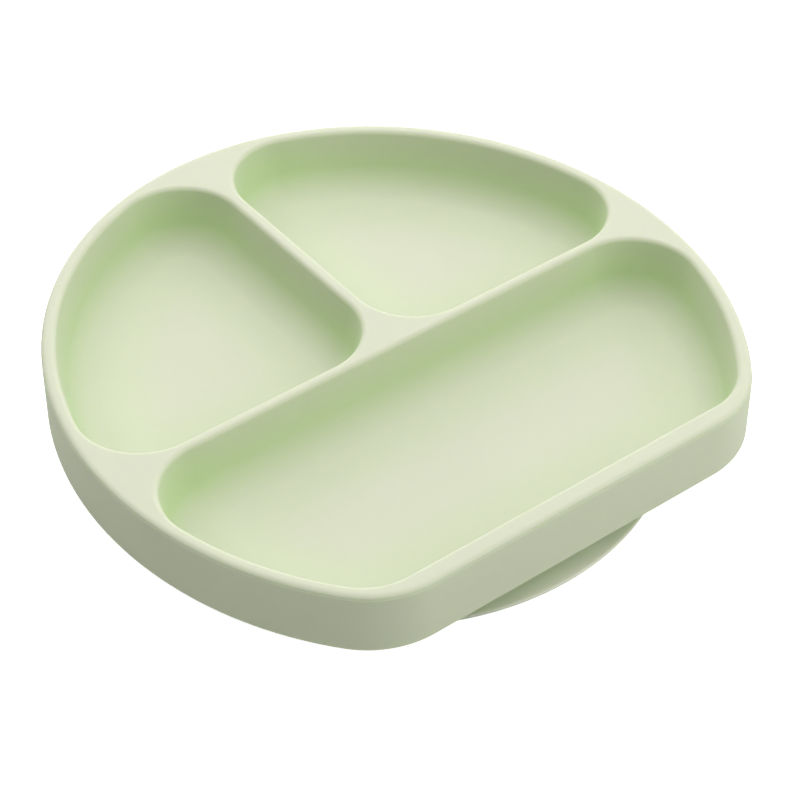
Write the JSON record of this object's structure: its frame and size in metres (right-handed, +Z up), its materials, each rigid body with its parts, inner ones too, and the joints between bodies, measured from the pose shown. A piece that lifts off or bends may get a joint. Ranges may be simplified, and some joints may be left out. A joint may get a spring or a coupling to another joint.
{
  "type": "divided suction dish",
  "caption": "D-shaped soft divided dish for a toddler, with food compartments, on a wide suction cup that presses down and peels off by its lip.",
  "frame": {"origin": "centre of the suction cup, on the table plane", "axes": "+X along the flat front side, -Y towards the flat front side, +Z up"},
  "size_m": [0.2138, 0.2057, 0.0372],
  "materials": {
    "dish_silicone": "soft matte food-grade silicone, pale sage green",
    "base_silicone": "smooth satin silicone, pale sage green"
  },
  "bodies": {
    "suction_rim": {"sealing_rim": "base_silicone"},
    "dish_body": {"dish": "dish_silicone", "stem": "base_silicone", "cup_membrane": "base_silicone"},
    "lip": {"release_lip": "base_silicone"}
  },
  "joints": [
    {"name": "press", "type": "slide", "parent": "suction_rim", "child": "dish_body", "axis": [0, 0, -1], "range_m": [0, 0.006], "stiffness_N_per_m": 4000, "springref_m": -0.001, "deforming": ["cup_membrane"]},
    {"name": "peel", "type": "hinge", "parent": "suction_rim", "child": "lip", "pos_m": [0, -0.0782, 0.0022], "axis": [-1, 0, 0], "range_deg": [0, 30], "stiffness_Nm_per_rad": 0.05}
  ]
}
